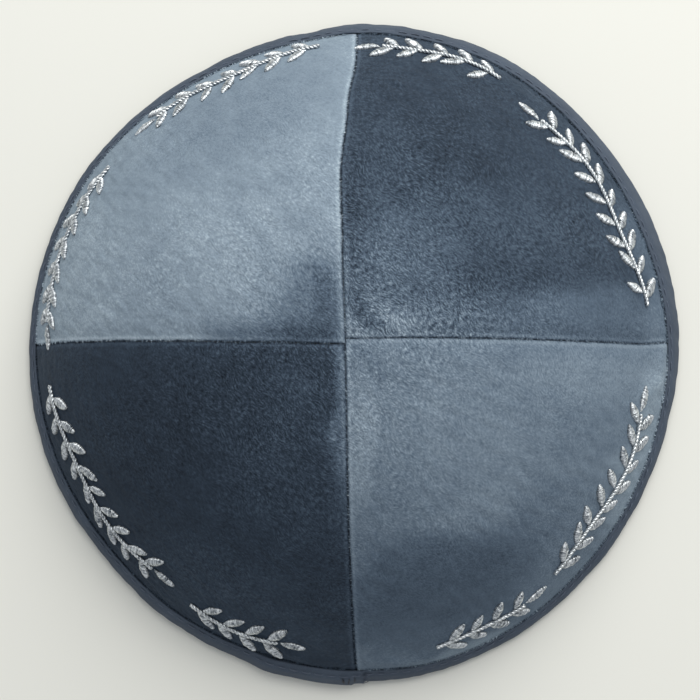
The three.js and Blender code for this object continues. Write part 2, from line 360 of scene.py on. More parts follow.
def pile_group():
    """Colour and height of velvet from its painted nap shade, the pile's light and shade painted into its colour:
    rows of pile 0.5 mm apart, mottling and bright threads.
    """
    inputs = {
        "Vector": ("Vector", None), "Painted Nap Shade": ("Float", 0.5), "Grain": ("Float", 1.0), "Bearing": ("Float", 0.0)
    }
    group, given, result = new_group("pile", inputs, {"Color": "Color", "Height": "Float"})
    drift = add_node(group, "ShaderNodeTexNoise", {"Vector": given["Vector"], "Scale": 17.0})
    sway = {0: drift.outputs["Color"], 1: (0.03, 0.03, 0.0)}
    swayed = add_node(group, "ShaderNodeVectorMath", sway, operation="MULTIPLY").outputs[0]
    sway = {0: given["Vector"], 1: swayed}
    moved = add_node(group, "ShaderNodeVectorMath", sway, operation="ADD").outputs[0]
    turn = {"Vector": moved, "Angle": given["Bearing"]}
    turned = add_node(group, "ShaderNodeVectorRotate", turn, rotation_type="Z_AXIS").outputs[0]
    stretch = {0: turned, 1: (640.0, 200.0, 1.0)}
    drawn = add_node(group, "ShaderNodeVectorMath", stretch, operation="MULTIPLY").outputs[0]
    rows = noise(group, drawn, 1.0, 2.0, 0.6)
    threads = noise(group, given["Vector"], 1150.0, 1.0)
    clumps = noise(group, given["Vector"], 190.0, 3.0, 0.6)
    strokes = noise(group, given["Vector"], 34.0, 3.0, 0.55)
    grain = calc(group, "ADD", centred(group, rows, 0.6), centred(group, threads, 0.5))
    grain = calc(group, "ADD", grain, centred(group, clumps, 0.3))
    tone = calc(group, "ADD", given["Painted Nap Shade"], calc(group, "MULTIPLY", grain, given["Grain"]))
    tone = calc(group, "ADD", tone, centred(group, strokes, 0.17))
    ramp = add_node(group, "ShaderNodeValToRGB", {"Fac": tone})
    while len(ramp.color_ramp.elements) < len(PILE_SHADES):
        ramp.color_ramp.elements.new(0.5)
    for element, (place, shade) in zip(ramp.color_ramp.elements, PILE_SHADES):
        element.position = place
        element.color = srgb(*shade)
    height = calc(group, "ADD", calc(group, "MULTIPLY", rows, 0.6), calc(group, "MULTIPLY", threads, 0.4))
    group.links.new(ramp.outputs["Color"], result.inputs["Color"])
    group.links.new(height, result.inputs["Height"])
    return group


PILE = pile_group()
print("shades from pile in shadow to pile in full light:", len(PILE_SHADES))


# %% Node group: weave
def weave_group():
    """A plain weave: threads run both ways, and a checker of raised crossings shows between the lows."""
    inputs = {"Vector": ("Vector", None), "Threads": ("Float", 500.0)}
    group, given, result = new_group("weave", inputs, {"Height": "Float", "Shade": "Float"})
    apart = add_node(group, "ShaderNodeSeparateXYZ", {"Vector": given["Vector"]}).outputs
    waves = []
    for axis in ("X", "Y"):
        phase = calc(group, "MULTIPLY", calc(group, "MULTIPLY", apart[axis], given["Threads"]), 2 * np.pi)
        waves.append(calc(group, "SINE", phase))
    crossing = calc(group, "MULTIPLY", waves[0], waves[1])
    uneven = noise(group, given["Vector"], 260.0, 3.0, 0.6)
    height = calc(group, "ADD", crossing, calc(group, "MULTIPLY", uneven, 1.4))
    group.links.new(height, result.inputs["Height"])
    group.links.new(uneven, result.inputs["Shade"])
    return group


WEAVE = weave_group()


def place_group(tree, group, inputs):
    """A node group placed in a material's tree, with its inputs set or linked."""
    placed = tree.nodes.new("ShaderNodeGroup")
    placed.node_tree = group
    for key, value in inputs.items():
        if isinstance(value, bpy.types.NodeSocket):
            tree.links.new(value, placed.inputs[key])
        else:
            placed.inputs[key].default_value = value
    return placed.outputs


def link_bump(tree, shader, height, strength, distance):
    """A Bump node between a height and the shader's normal."""
    values = {"Height": height, "Strength": strength, "Distance": distance}
    bump = add_node(tree, "ShaderNodeBump", values)
    tree.links.new(bump.outputs["Normal"], shader.inputs["Normal"])


def two_shades(tree, mask, dark, pale):
    """A colour between two shades, by a mask from 0 to 1."""
    mix = add_node(tree, "ShaderNodeMix", {"Factor": mask}, data_type="RGBA")
    mix.inputs["A"].default_value = srgb(*dark)
    mix.inputs["B"].default_value = srgb(*pale)
    return next(socket for socket in mix.outputs if socket.type == "RGBA")


# %% Materials: velvet and the cloth inside
def velvet(name):
    """One panel's velvet, read from its cloth map, its painted nap shade (the pile's light and shade painted into its
    colour) and its grain, how strongly the rows show.
    """
    material, tree, shader = new_material(name, 0.9)
    place = add_node(tree, "ShaderNodeUVMap", uv_map="cloth").outputs["UV"]
    painted_nap_shade = add_node(tree, "ShaderNodeAttribute", attribute_name="painted_nap_shade").outputs["Fac"]
    grain = add_node(tree, "ShaderNodeAttribute", attribute_name="grain").outputs["Fac"]
    bearing = float(np.radians(PILE_BEARING))
    pile = place_group(tree, PILE, {"Vector": place, "Painted Nap Shade": painted_nap_shade, "Grain": grain, "Bearing": bearing})
    link_bump(tree, shader, pile["Height"], 0.55, 0.25 * MM)
    tree.links.new(pile["Color"], shader.inputs["Base Color"])
    shader.inputs["Specular IOR Level"].default_value = 0.15
    shader.inputs["Sheen Weight"].default_value = 0.12
    shader.inputs["Sheen Roughness"].default_value = 0.45
    shader.inputs["Sheen Tint"].default_value = srgb(170, 185, 200)
    return material


def inner_cloth():
    """The plain woven cloth that faces the head, in a dull blue."""
    material, tree, shader = new_material("inner cloth", 0.85)
    place = add_node(tree, "ShaderNodeUVMap", uv_map="cloth").outputs["UV"]
    weave = place_group(tree, WEAVE, {"Vector": place, "Threads": 240.0})
    link_bump(tree, shader, weave["Height"], 0.5, 0.15 * MM)
    tree.links.new(two_shades(tree, weave["Shade"], (44, 53, 67), (74, 85, 101)), shader.inputs["Base Color"])
    return material


INNER_CLOTH = inner_cloth()

# %% [markdown]
# ## The four panels
# Each panel is a quarter of the dome: velvet outside, plain cloth inside, and at each seam the
# velvet rolls in to meet its neighbour. A polar grid would pinch at the crown and put its lines
# across the seams, where detail is wanted most. So a square grid is laid over the quarter with one
# side along each seam. Its outer two sides together make the rim, and its lines are crowded near
# the seams, where the roll is less than a millimetre wide.

# %% The square grid over a quarter
PANEL_LINES = 257
INNER_STEP = 4  # the inner face keeps every fourth line
SEAM_CROWDING, CROWDING_REACH = 0.016, 0.02
SEAM_ROLL = 0.6 * MM
SEAM_CLEARANCE = 0.03 * MM


def crowded(count):
    """Places from 0 to 1, crowded near 0: x less a share of 1 - e^(-x / reach), scaled to end at 1."""
    x = np.linspace(0, 1, count)
    place = x - SEAM_CROWDING * (1 - np.exp(-x / CROWDING_REACH))
    return place / place[-1]


def quarter_grid(lines, first, last):
    """Azimuth and share of a square grid laid over the quarter between two seams.

    The share is the larger of the two grid places. The turn is an eighth of a circle times the
    smaller over the larger, measured from the nearer seam. Each seam's wander is then added in the
    plan, and fades out by a third of the way to the other seam.
    """
    along, beyond = np.meshgrid(lines, lines, indexing="ij")
    share = np.maximum(np.maximum(along, beyond), 1e-6)
    turn = np.where(along >= beyond, beyond / share, 2 - along / share) * np.pi / 4
    start = np.radians(SEAM_AZIMUTHS[first])
    radius = radius_at(start + turn, share)
    near_first = (wander(first, share) + SEAM_CLEARANCE) * (1 - smooth(beyond, 0, 0.35))
    near_last = (SEAM_CLEARANCE - wander(last, share)) * (1 - smooth(along, 0, 0.35))
    x = radius * np.cos(turn) + near_last
    y = radius * np.sin(turn) + near_first
    azimuth = start + np.arctan2(y, x)
    reach, fullness, _ = rim_at(azimuth)
    level = np.clip(np.hypot(x, y) * np.sin(fullness) / (EDGE_RADIUS + reach), 0, 1)
    return azimuth, np.arcsin(level) / fullness


lines = crowded(PANEL_LINES)
print("lines nearest a seam, in millimetres from it:", (lines[1:6] * BALL * MEAN_SLOPE * 0.785 / MM).round(2))

# %% Seam roll and clumps of pile
RIPPLES = 36
CLUMP_SIZES = (1.3 * MM, 6 * MM)
CLUMP_HEIGHT = 0.05 * MM


def seam_roll(distance):
    """How far the velvet turns in beside a seam: a quarter circle of radius SEAM_ROLL."""
    flat = np.clip(1 - distance / SEAM_ROLL, 0, 1)
    return SEAM_ROLL * (1 - np.sqrt(1 - flat**2))


def seam_distance(azimuth, share):
    """Distance round the dome from the nearest seam."""
    radius = radius_at(azimuth, share)
    nearest = np.full_like(radius, np.inf)
    for seam, at in SEAM_AZIMUTHS.items():
        away = azimuth - np.radians(at)
        ahead = np.cos(away) > 0
        distance = np.abs(np.sin(away) * radius - wander(seam, share))
        nearest = np.where(ahead, np.minimum(nearest, distance), nearest)
    return nearest


def ripples(x, y, seed, shortest, longest, spread=60):
    """An uneven surface, about -1 to 1: a sum of sines, longer ones higher, that mostly run down to the right."""
    random = np.random.default_rng(seed)
    height = np.zeros_like(x)
    power = 0
    for _ in range(RIPPLES):
        wave = np.exp(random.uniform(np.log(shortest), np.log(longest)))
        heading = np.radians(45 + random.normal(0, spread))
        path = (x * np.cos(heading) + y * np.sin(heading)) * 2 * np.pi / wave
        height += wave * np.sin(path + random.uniform(0, 2 * np.pi))
        power += wave**2 / 2
    return height / np.sqrt(power)


# %% [markdown]
# ## How the nap lies, painted as light and shade
# The cap's four shades come from how the panels were cut: the nap runs a different way on each, so
# each panel catches the light in its own way, and that light and shade is painted into its colour.
# On top of that, lighter and darker patches are painted where stroked pile catches the light or
# falls into shade, and where the pile's sheen brightens near the rim. Each is written here as a soft
# oval that adds to the painted nap shade, by its place on the plan, its bearing, its size and its
# strength. They could be painted by hand in texture paint, but a short table can be read and changed.

# %% The nap's patches of painted light and shade
# Each row: place to the right and up from the crown, bearing of its long side, half length and half
# width, all in millimetres and degrees, then how much paler it makes the pile: painted light where
# it is above 0, painted shade where it is below.
PANELS = {
    "crown_panel_back_right": {
        "seams": ("right", "back"), "slot": "velvet_back_right", "painted_nap_shade": 0.26, "grain": 1.3,
        "patches": [
            (7, 4, 20, 10, 5, 0.14), (10, 14, 45, 20, 15, 0.15), (45, 5, 4, 44, 8, 0.18),
            (24, 62, 160, 30, 16, -0.05), (7.5, 5, 135, 5.5, 2.4, -0.24), (40, 30, 160, 16, 9, 0.04),
            (30, 44, 150, 14, 6, -0.03), (9, 30, 90, 26, 5, 0.03), (78, 18, 103, 24, 7, 0.16),
        ],
    },
    "crown_panel_back_left": {
        "seams": ("back", "left"), "slot": "velvet_back_left", "painted_nap_shade": 0.715, "grain": 0.75,
        "patches": [
            (-18, 0, 178, 16, 7.5, -0.27), (-3, 7, 90, 9, 4, -0.12),
            (-7, 8, 135, 11, 10, -0.16), (-12, 16, 135, 17, 13, -0.05),
            (-26, 60, 30, 26, 14, -0.08), (-74, 16, 80, 24, 20, 0.07), (-34, 26, 135, 18, 8, 0.04),
            (-16, 24, 120, 12, 4, 0.06),
        ],
    },
    "crown_panel_front_left": {
        "seams": ("left", "front"), "slot": "velvet_front_left", "painted_nap_shade": 0.19, "grain": 0.95,
        "patches": [
            (-1.3, -15, 90, 18, 2.1, 0.2), (-1.5, -34, 90, 16, 4, 0.06), (-1.5, -5, 90, 6, 2.2, 0.08),
            (-16, -34, 120, 22, 12, 0.03),
            (-50, -26, 60, 24, 14, -0.02), (-24, -66, 155, 26, 12, 0.05), (-10, -14, 120, 12, 7, 0.05),
        ],
    },
    "crown_panel_front_right": {
        "seams": ("front", "right"), "slot": "velvet_front_right", "painted_nap_shade": 0.57, "grain": 0.85,
        "patches": [
            (4, -7, 90, 6, 4, -0.07), (3, -22, 90, 19, 3.5, 0.11), (24, -20, 160, 22, 14, 0.05),
            (22, -60, 20, 27, 14, -0.18), (60, -8, 0, 22, 6, 0.06), (44, -44, 45, 16, 10, -0.04),
            (34, -38, 20, 20, 5, 0.05), (77, -26, 72, 34, 7, 0.16), (28, -77, 20, 18, 2.2, 0.14),
        ],
    },
}


GRAIN_REACH = 42 * MM
STRAY, STRAY_SIZES = 1.1 * MM, (9 * MM, 45 * MM)  # how far, and over what lengths, an oval's edge strays


def painted_nap_shade_at(x, y, panel):
    """The painted nap shade on the plan, the pile's light and shade painted into its colour: the panel's own level
    plus a flat-topped bell, e^-(distance^4), for each patch.
    """
    painted_nap_shade = np.full_like(x, panel["painted_nap_shade"])
    x = x + ripples(x, y, 11, *STRAY_SIZES) * STRAY
    y = y + ripples(x, y, 12, *STRAY_SIZES) * STRAY
    for right, up, bearing, length, width, change in panel["patches"]:
        turn = np.radians(bearing)
        along = ((x - right * MM) * np.cos(turn) + (y - up * MM) * np.sin(turn)) / (length * MM)
        across = ((y - up * MM) * np.cos(turn) - (x - right * MM) * np.sin(turn)) / (width * MM)
        painted_nap_shade += change * np.exp(-(along**2 + across**2) ** 2)
    return painted_nap_shade


def grain_at(x, y, panel):
    """How strongly the rows of pile show: crisp round the crown, and brushed smooth towards the rim."""
    crisp = np.exp(-((x**2 + y**2) / GRAIN_REACH**2))
    return panel["grain"] * (0.6 + 1.1 * crisp + 0.12 * ripples(x, y, 21, *STRAY_SIZES))


# %% Panels: build
# A painted highlight on the pile beside a seam, where it rolls in, and a painted shadow in the seam's groove.
SEAM_HIGHLIGHT = (0.8 * MM, 0.5 * MM, 0.09)  # place, width and strength of the pale pile beside a seam
SEAM_SHADE = (0.22 * MM, 0.22)  # width and strength of the shadow in it


def cloth_map(azimuth, share):
    """Flat coordinates of the cloth: distance down the arc, at its own azimuth, in units of CLOTH_MAP."""
    _, fullness, _ = rim_at(azimuth)
    arc = share * fullness * BALL / CLOTH_MAP
    return np.stack([0.5 + arc * np.cos(azimuth), 0.5 + arc * np.sin(azimuth)], axis=-1)


def panel_skin(azimuth, share, seed):
    """Offset of the velvet off the face, and the distance from the seam it was worked out from."""
    distance = seam_distance(azimuth, share)
    plan = (cloth_map(azimuth, share) - 0.5) * CLOTH_MAP
    held = smooth(distance, 0, 2 * MM) * (1 - smooth(share, 0.94, 0.97))
    clumps = ripples(plan[..., 0], plan[..., 1], seed, *CLUMP_SIZES, spread=32) * CLUMP_HEIGHT * held
    return clumps - seam_roll(distance), distance


def rim_loop(ids):
    """The grid's outline as one closed run of point numbers, anticlockwise seen from outside."""
    return np.concatenate([ids[:-1, 0], ids[-1, :-1], ids[:0:-1, -1], ids[0, :0:-1]])


def bridge(fine, rough, step):
    """Triangles from a fine outline to a coarse one: a fan to each coarse point, then one to the next."""
    spans = fine.reshape(-1, step)
    after = np.roll(fine, -step).reshape(-1, step)[:, :1]
    run = np.concatenate([spans, after], axis=1)
    ahead = np.roll(rough, -1)
    fans = np.stack([run[:, :-1].ravel(), np.repeat(rough, step), run[:, 1:].ravel()], axis=-1)
    last = np.stack([run[:, -1], rough, ahead], axis=-1)
    return np.concatenate([fans, last])


def add_panel(name, panel, seed):
    """A closed wall: a fine velvet face, a coarse inner face, and strips that join them all the way round."""
    count, step = PANEL_LINES, INNER_STEP
    azimuth, share = quarter_grid(lines, *panel["seams"])
    offset, distance = panel_skin(azimuth, share, seed)
    outer = cloth(azimuth, share, offset)
    inner = cloth(azimuth, share, np.full_like(share, -CLOTH))[::step, ::step]
    coarse = inner.shape[0]
    points = np.concatenate([outer.reshape(-1, 3), inner.reshape(-1, 3)])
    face_quads = grid_faces(count, count)
    lining_quads = grid_faces(coarse, coarse, start=count * count)[:, ::-1]
    outer_ids = np.arange(count * count).reshape(count, count)
    inner_ids = count * count + np.arange(coarse * coarse).reshape(coarse, coarse)
    fine, rough = rim_loop(outer_ids), rim_loop(inner_ids)
    plan = outer[..., :2] - MIDDLE[:2]
    # Painted light and shade beside a seam: a painted highlight on the pile where it rolls in, and a painted shadow
    # in the groove.
    edge = np.exp(-(((distance - SEAM_HIGHLIGHT[0]) / SEAM_HIGHLIGHT[1]) ** 2)) * SEAM_HIGHLIGHT[2]
    shade = np.exp(-((distance / SEAM_SHADE[0]) ** 2)) * SEAM_SHADE[1]
    painted_nap_shade = painted_nap_shade_at(plan[..., 0], plan[..., 1], panel) + edge - shade
    maps = cloth_map(azimuth, share)
    uv = np.concatenate([maps.reshape(-1, 2), maps[::step, ::step].reshape(-1, 2)])
    shown = {"painted_nap_shade": painted_nap_shade, "grain": grain_at(plan[..., 0], plan[..., 1], panel)}
    shown = {key: np.concatenate([value.ravel(), value[::step, ::step].ravel()]) for key, value in shown.items()}
    side = name.removeprefix("crown_panel_")
    panel["velvet"] = velvet("velvet " + side.replace("_", " "))
    piece = add_piece(
        "velvet_" + side, points, [face_quads, bridge(fine, rough, step), lining_quads],
        [panel["velvet"], INNER_CLOTH], uv, shown, second=len(lining_quads),
    )
    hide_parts(name)
    return piece


panels = [add_panel(name, panel, seed) for seed, (name, panel) in enumerate(PANELS.items())]

# %% [markdown]
# ## Threads
# The stitches, the embroidery and the frayed end of the tape are all short threads. Curves with a
# bevel would do, but there are thousands of them, so one helper turns whole arrays of paths into
# closed tubes at once, and each kind of thread becomes a single joined mesh.

# %% Tubes
def tubes(paths, radii, up, sides):
    """Closed tubes along paths (count, steps, 3): a ring of points round each step, and a fan at each end.

    A ring lies across the path: sideways is the path's direction crossed with up, and the ring is
    the path plus the radius times cosine of sideways and sine of over.
    """
    count, steps = paths.shape[:2]
    ahead = np.gradient(paths, axis=1)
    ahead /= np.linalg.norm(ahead, axis=-1, keepdims=True)
    sideways = np.cross(ahead, up)
    sideways /= np.linalg.norm(sideways, axis=-1, keepdims=True)
    over = np.cross(sideways, ahead)
    turn = 2 * np.pi * np.arange(sides)[:, None] / sides
    radii = np.broadcast_to(radii, (count, steps))[..., None, None]
    rings = sideways[:, :, None] * np.cos(turn) + over[:, :, None] * np.sin(turn)
    rings = paths[:, :, None] + radii * rings
    points = np.concatenate([rings.reshape(count, -1, 3), paths[:, :1], paths[:, -1:]], axis=1)
    ids = np.arange(steps * sides).reshape(steps, sides)
    after = np.roll(ids, -1, axis=1)
    wall = np.stack([ids[:-1], ids[1:], after[1:], after[:-1]], axis=-1).reshape(-1, 4)
    start = np.stack([np.full(sides, ids.size), ids[0], after[0]], axis=-1)
    end = np.stack([np.full(sides, ids.size + 1), after[-1], ids[-1]], axis=-1)
    shift = np.arange(count)[:, None, None] * points.shape[1]
    faces = [(shift + wall).reshape(-1, 4), (shift + start).reshape(-1, 3), (shift + end).reshape(-1, 3)]
    return points.reshape(-1, 3), faces


def on_tubes(values, sides):
    """Values given at each step of each path, repeated for every point of its tube."""
    spread = np.concatenate([np.repeat(values, sides, axis=1), values[:, :1], values[:, -1:]], axis=1)
    return spread.reshape(-1) if values.ndim == 2 else spread.reshape(-1, values.shape[-1])


def merge(parts):
    """Several (points, faces) pairs as one pair, with the faces renumbered."""
    starts = np.cumsum([0] + [len(points) for points, _ in parts])
    points = np.concatenate([points for points, _ in parts])
    faces = [block + start for (_, blocks), start in zip(parts, starts) for block in blocks]
    return points, faces


def beside_point(azimuth, share, x, y, height):
    """Points x round the dome, y up it and height off it, all in metres, from a place on the face."""
    _, fullness, _ = rim_at(azimuth)
    return cloth(azimuth + x / radius_at(azimuth, share), share - y / (BALL * fullness), height)


# %% [markdown]
# ## Pile at the seams and over the tape
# Where two panels roll in to a seam, the pile fans out and its tips cross the groove, so a real seam
# is a ragged line and never a clean cut. It also brushes over the top fold of the tape. Short
# tapered threads, rooted beside the line and leaning across it, give that raggedness. They wear
# their own panel's velvet and take its painted nap shade, the pile's light and shade painted into
# its colour, some paler and some darker.

# %% Pile: where the threads are rooted
ARC = BALL * MEAN_SLOPE
TUFT_PITCH, TUFT_LENGTH, TUFT_RADIUS = 0.3 * MM, 0.75 * MM, 0.13 * MM
TUFT_ROOT = (0.25 * MM, 0.85 * MM)
TUFT_STEPS, TUFT_SIDES = 4, 4


def seam_roots(seam, side, random):
    """Threads along one side of a seam: azimuth, share, and how far each reaches round and up the dome."""
    run = np.linspace(0, 1, TUFT_STEPS)
    shape = (int(ARC * 0.94 / TUFT_PITCH), 1)
    share = random.uniform(0.012, 0.95, shape) + 0 * run
    azimuth = np.radians(SEAM_AZIMUTHS[seam]) + np.arctan2(wander(seam, share), radius_at(0 * share, share))
    reach = TUFT_LENGTH * random.uniform(0.5, 1.1, shape)
    x = side * (random.uniform(*TUFT_ROOT, shape) - reach * run)
    y = random.normal(0, 0.4, shape) * TUFT_LENGTH * run
    lift = (0.28 * MM * np.sin(run * np.pi * 0.6) - 0.3 * MM) * random.uniform(0.7, 1.2, shape)
    return azimuth, share, x, y, lift


def rim_roots(first, random):
    """Threads along the top of the tape that lean down over its fold."""
    run = np.linspace(0, 1, TUFT_STEPS)
    shape = (int(RIM_RADIUS * np.pi / 2 / TUFT_PITCH * 1.4), 1)
    azimuth = np.radians(SEAM_AZIMUTHS[first]) + random.uniform(0.02, np.pi / 2 - 0.02, shape) + 0 * run
    share = 1 - rim_at(azimuth)[2] / ARC
    reach = TUFT_LENGTH * random.uniform(0.4, 0.85, shape)
    x = random.normal(0, 0.4, shape) * reach * run
    y = random.uniform(0.1, 0.7, shape) * MM - reach * run
    lift = (0.85 * np.sin(run * np.pi / 2) - 0.1) * reach
    return azimuth, share, x, y, lift


# %% Pile: build
def add_pile(name, panel, seed):
    """One panel's threads at its two seams and over the tape, tapering from root to tip."""
    random = np.random.default_rng(100 + seed)
    first, last = panel["seams"]
    roots = [seam_roots(first, 1, random), seam_roots(last, -1, random), rim_roots(first, random)]
    azimuth, share, x, y, lift = (np.concatenate(values) for values in zip(*roots))
    _, fullness, _ = rim_at(azimuth)
    azimuth, share = azimuth + x / radius_at(azimuth, share), share - y / (BALL * fullness)
    paths = cloth(azimuth, share, lift)
    # Each thread takes the panel's painted nap shade at its place, changed a little at random.
    shade = random.normal(0.02, 0.1, (len(paths), 1))
    painted_nap_shade = painted_nap_shade_at(paths[..., 0] - MIDDLE[0], paths[..., 1] - MIDDLE[1], panel) + shade
    taper = 1 - 0.75 * np.linspace(0, 1, TUFT_STEPS) ** 2
    points, faces = tubes(paths, TUFT_RADIUS * taper, normal_at(azimuth, share), TUFT_SIDES)
    shown = {"painted_nap_shade": on_tubes(painted_nap_shade, TUFT_SIDES), "grain": np.full(len(points), panel["grain"])}
    uv = on_tubes(cloth_map(azimuth, share), TUFT_SIDES)
    title = "pile_" + name.removeprefix("crown_panel_")
    return add_piece(title, points, faces, [panel["velvet"]], uv, shown)


piles = [add_pile(name, panel, seed) for seed, (name, panel) in enumerate(PANELS.items())]

# %% [markdown]
# ## The binding
# A woven tape is folded over the panels' lower edge and sewn down. Its two legs grip the cloth, and
# at the front its end is laid over its start, so it is one thickness thicker there and then steps
# down. A curve with a bevel would give a round pipe, so the fold is drawn as a profile and carried
# round the rim: over the top of the outer leg, down it, round the edge, pressed flat where it meets
# the table, up the inner leg, and back through the channel that holds the cloth.

# %% Binding: sizes
CHANNEL = CLOTH / 2 + CLEARANCE
INNER_LEG = 4 * MM
LAP_FROM, LAP_TO, LAP_RAMP, LAP_THICKNESS = 250, 271.9, 6, 1 * MM
LAP_FOLD, LAP_STEP = 269.9, 0.06
RIM_COLUMNS = 880
TOUCHING = CLOTH / 2 + 0.04 * MM  # middle of the cloth to where a leg's fold touches it
STITCH_LINE = 1.1 * MM  # top of the outer leg to the row of stitches
FOLD_THICKNESS = 0.5  # the sewn top of the outer leg, as a share of the tape's full thickness
PUCKERS = [(3.1, 0.03), (5.3, 0.05), (9.7, 0.07), (16.3, 0.08), (31, 0.1)]
print("tape's outer leg in millimetres:", RIM_SECTIONS[:, 3].min(), "to", RIM_SECTIONS[:, 3].max())


# %% Binding: the profile
def lap_at(azimuth):
    """The tape's extra thickness: it rises to one tape within the ramp, and ends in two sharp steps."""
    turn = np.degrees(azimuth)
    tucked = 1 - 0.5 * smooth(turn, LAP_FOLD, LAP_FOLD + 0.5)
    return smooth(turn, LAP_FROM, LAP_FROM + LAP_RAMP) * tucked * LAP_THICKNESS


def pucker(azimuth, below):
    """Slight puckers where the tape is drawn in round the rim: slanting ripples, length and height in millimetres."""
    round_rim = azimuth * RIM_RADIUS / MM
    height = np.zeros(np.broadcast(azimuth, below).shape)
    for number, (length, rise) in enumerate(PUCKERS):
        path = (round_rim + below / MM * 0.8) * 2 * np.pi / length
        swell = 0.6 + 0.4 * np.sin(round_rim / (11 + 7 * number) + number)
        height = height + rise * swell * np.sin(path + 1.7 * number)
    return height * MM


def binding_profile(azimuth):
    """Rows of points round the section: how far each lies below the cloth's edge, and out from its middle."""
    outside, leg = EDGE_ROUND + lap_at(azimuth), rim_at(azimuth)[2]
    rows = []
    fold = (outside - TOUCHING) / 2
    for turn in np.linspace(np.pi, 0, 9):
        rows.append((fold * (1 - np.sin(turn)) - leg, TOUCHING + fold * (1 + np.cos(turn))))
    for share in np.linspace(0, 1, 11)[1:-1]:
        rows.append((-(leg - fold) * (1 - share), outside))
    for turn in np.linspace(0, np.pi, 15):
        radius = outside + (EDGE_ROUND - outside) * turn / np.pi
        rows.append((radius * np.sin(turn), radius * np.cos(turn)))
    fold = (EDGE_ROUND - TOUCHING) / 2
    for turn in np.linspace(0, np.pi, 7):
        rows.append((fold * (1 - np.sin(turn)) - INNER_LEG, -TOUCHING - fold * (1 + np.cos(turn))))
    for turn in np.linspace(np.pi, 0, 7):
        rows.append((CHANNEL * np.sin(turn), CHANNEL * np.cos(turn)))
    below, out = (np.stack([row[side] + 0 * azimuth for row in rows]) for side in (0, 1))
    showing = smooth(out, CHANNEL, CHANNEL + 0.5 * MM)
    sewn = np.exp(-(((below + leg - STITCH_LINE) / (0.45 * MM)) ** 2)) * showing
    thin = FOLD_THICKNESS + (1 - FOLD_THICKNESS) * smooth(below + leg, 0, 2.5 * MM)
    out = np.where(out > TOUCHING, TOUCHING + (out - TOUCHING) * thin, out)
    return below, out + pucker(azimuth, below) * showing - 0.16 * MM * sewn


def rim_point(azimuth, below, out):
    """A point below the cloth's edge and out from its middle, never under the table."""
    point = cloth(azimuth, 1 + below / ARC, out - CLOTH / 2)
    point[..., 2] = np.maximum(point[..., 2], 0)
    return point


# %% Materials: tape and thread
TAPE_MAP = 100 * MM


def tape_material():
    """A dull blue tape: a fine weave, and slow blotches between a darker and a paler blue."""
    material, tree, shader = new_material("binding tape", 0.75)
    place = add_node(tree, "ShaderNodeUVMap", uv_map="cloth").outputs["UV"]
    weave = place_group(tree, WEAVE, {"Vector": place, "Threads": 170.0})
    link_bump(tree, shader, weave["Height"], 0.5, 0.12 * MM)
    # Slow blotches of darker and paler blue, laid at random by noise.
    slow_blotches = noise(tree, place, 9.0, 3.0, 0.6)
    mask = calc(tree, "ADD", calc(tree, "MULTIPLY", weave["Shade"], 0.5), calc(tree, "MULTIPLY", slow_blotches, 0.5))
    tree.links.new(two_shades(tree, mask, (36, 43, 56), (90, 103, 119)), shader.inputs["Base Color"])
    shader.inputs["Specular IOR Level"].default_value = 0.3
    return material


def thread_material(name, dark, pale):
    """Plain sewing thread, a little uneven along its length."""
    material, tree, shader = new_material(name, 0.6)
    place = add_node(tree, "ShaderNodeTexCoord").outputs["Object"]
    tree.links.new(two_shades(tree, noise(tree, place, 900.0), dark, pale), shader.inputs["Base Color"])
    return material


BINDING_TAPE = tape_material()
TAPE_THREAD = thread_material("tape thread", (52, 61, 76), (94, 106, 124))
DARK_THREAD = thread_material("dark thread", (16, 20, 28), (38, 44, 56))


# %% Binding: build
def add_binding():
    """The profile carried round the rim. The first and last columns meet at the lap's end."""
    azimuth = np.radians(np.linspace(LAP_TO - 360 + LAP_STEP, LAP_TO, RIM_COLUMNS))
    below, out = binding_profile(azimuth)
    points = rim_point(azimuth + 0 * below, below, out)
    rows, columns = below.shape
    quads = grid_faces(rows + 1, columns, wrap=True) % (rows * columns)
    run = np.concatenate([np.zeros((1, columns)), np.hypot(np.diff(below, axis=0), np.diff(out, axis=0))])
    across = np.cumsum(run, axis=0)
    uv = np.stack([azimuth * RIM_RADIUS + 0 * across, across], axis=-1) / TAPE_MAP
    piece = add_piece("folded_tape", points.reshape(-1, 3), [quads], [BINDING_TAPE], uv.reshape(-1, 2))
    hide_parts("rim_binding")
    return piece


binding = add_binding()

# %% Binding: stitches and the frayed end
STITCH_PITCH, STITCH_LENGTH, THREAD_RADIUS = 3.3 * MM, 2.3 * MM, 0.15 * MM
FRAY_THREADS, FRAY_RADIUS = 16, 0.07 * MM


def tape_stitches(side):
    """A row of short arched stitches along a leg: outside (side 1) or inside (side -1)."""
    count = int(2 * np.pi * RIM_RADIUS / STITCH_PITCH)
    along = np.linspace(-1, 1, 6)
    middle = np.radians(LAP_TO - 360) + 2 * np.pi * (np.arange(count)[:, None] + 0.5) / count
    azimuth = middle + along * STITCH_LENGTH / 2 / RIM_RADIUS
    leg = rim_at(azimuth)[2] if side > 0 else INNER_LEG
    outside = EDGE_ROUND + (lap_at(azimuth) if side > 0 else 0)
    below = STITCH_LINE - leg + 0 * azimuth
    pinch = (EDGE_ROUND - TOUCHING) * (1 - FOLD_THICKNESS) * (1 - smooth(STITCH_LINE, 0, 2.5 * MM))
    rise = 0.24 * MM * (1 - along**4) - 0.26 * MM - (pinch if side > 0 else -0.1 * MM)
    paths = rim_point(azimuth, below, side * (outside + rise))
    up = side * normal_at(azimuth, np.ones_like(azimuth))
    return tubes(paths, THREAD_RADIUS, up, 5)


